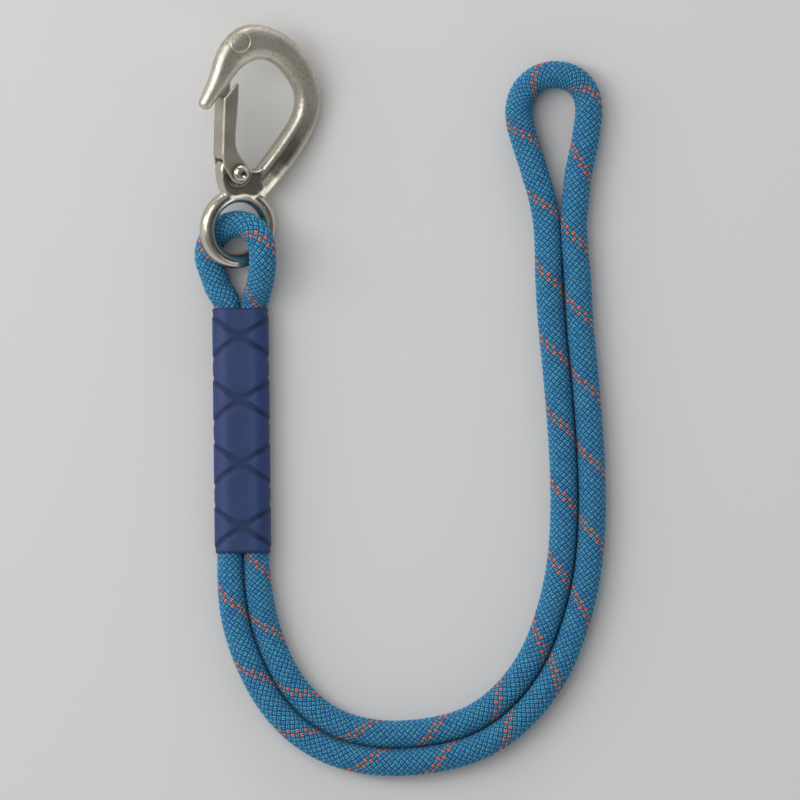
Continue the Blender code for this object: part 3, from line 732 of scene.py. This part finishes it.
for vertex in panel.data.vertices:
    start = vertex.co - down_face * lift / 2
    hit, where, _, _ = forging.ray_cast(start, down_face)
    while not hit:  # the ray slipped through between two faces
        start.x += 0.00001
        hit, where, _, _ = forging.ray_cast(start, down_face)
    above = down_face.dot(hook_place.translation - vertex.co) - lift
    vertex.co = where - down_face * above
panel.data.shade_smooth()
panel.data.materials.append(forged)
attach(panel, "hook")

# ---------------------------------------------------------------- gate
# Pressed from one-millimetre stainless sheet and folded to a channel, so its back and both
# flanges are one piece.  The flanges end in round lugs on the rivet.
channel = merged_copy("gate", "folded_gate")
soften(channel, 0.00025, 8)
sheet = steel("grained sheet", (0.36, 0.335, 0.27), (0.56, 0.53, 0.45), 0.40, 0.10, 0.00008,
              120.0, 1500.0)
channel.data.materials.append(sheet)
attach(channel, "gate")
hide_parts("gate")

# ---------------------------------------------------------------- rivet
# A stainless pin through lugs and tang, with both ends set to polished domes.
polished = steel("polished dome", (0.42, 0.39, 0.34), (0.60, 0.56, 0.50), 0.14, 0.05, 0.00003)
rivet_radius, head_radius, head_height, head_seat = 0.002, 0.0038, 0.0021, 0.0055
bpy.ops.object.select_all(action="DESELECT")
bpy.ops.mesh.primitive_uv_sphere_add(segments=64, ring_count=32, radius=head_radius)
pin = bpy.context.object
pin.name = pin.data.name = "domed_rivet"
bpy.ops.object.mode_set(mode="EDIT")
bpy.ops.mesh.select_all(action="SELECT")
bpy.ops.mesh.bisect(plane_co=(0, 0, 0), plane_no=(0, 0, 1), use_fill=False, clear_inner=True)
bpy.ops.mesh.select_all(action="SELECT")
bpy.ops.transform.resize(value=(1, 1, head_height / head_radius))
bpy.ops.transform.translate(value=(0, 0, head_seat))
bpy.ops.mesh.select_mode(type="EDGE")
bpy.ops.mesh.select_all(action="DESELECT")
bpy.ops.mesh.select_non_manifold()
bpy.ops.mesh.extrude_region_move()
bpy.ops.transform.resize(value=(rivet_radius / head_radius, rivet_radius / head_radius, 1))
bpy.ops.mesh.extrude_region_move(TRANSFORM_OT_translate={"value": (0, 0, -head_seat)})
bpy.ops.object.mode_set(mode="OBJECT")
other_half = pin.modifiers.new("other half", "MIRROR")
other_half.use_axis = (False, False, True)
other_half.merge_threshold = 0.00001
bpy.ops.object.modifier_apply(modifier="other half")
bpy.ops.object.mode_set(mode="EDIT")
bpy.ops.mesh.select_all(action="SELECT")
bpy.ops.mesh.normals_make_consistent(inside=False)
bpy.ops.object.mode_set(mode="OBJECT")
pin.data.transform(hook_place @ Matrix.Translation((-0.0020, 0.0248, 0)))
pin.data.shade_smooth()
pin.data.set_sharp_from_angle(angle=math.radians(50))
pin.data.materials.append(polished)
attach(pin, "hook")
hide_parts("gate_rivet")

# ---------------------------------------------------------------- gate spring
# Hard-drawn wire wound round the rivet, with a long leg that presses the gate shut.
wire = steel("drawn wire", (0.32, 0.32, 0.32), (0.55, 0.55, 0.55), 0.25, 0.08, 0.00002)
repaint("gate_spring", wire)
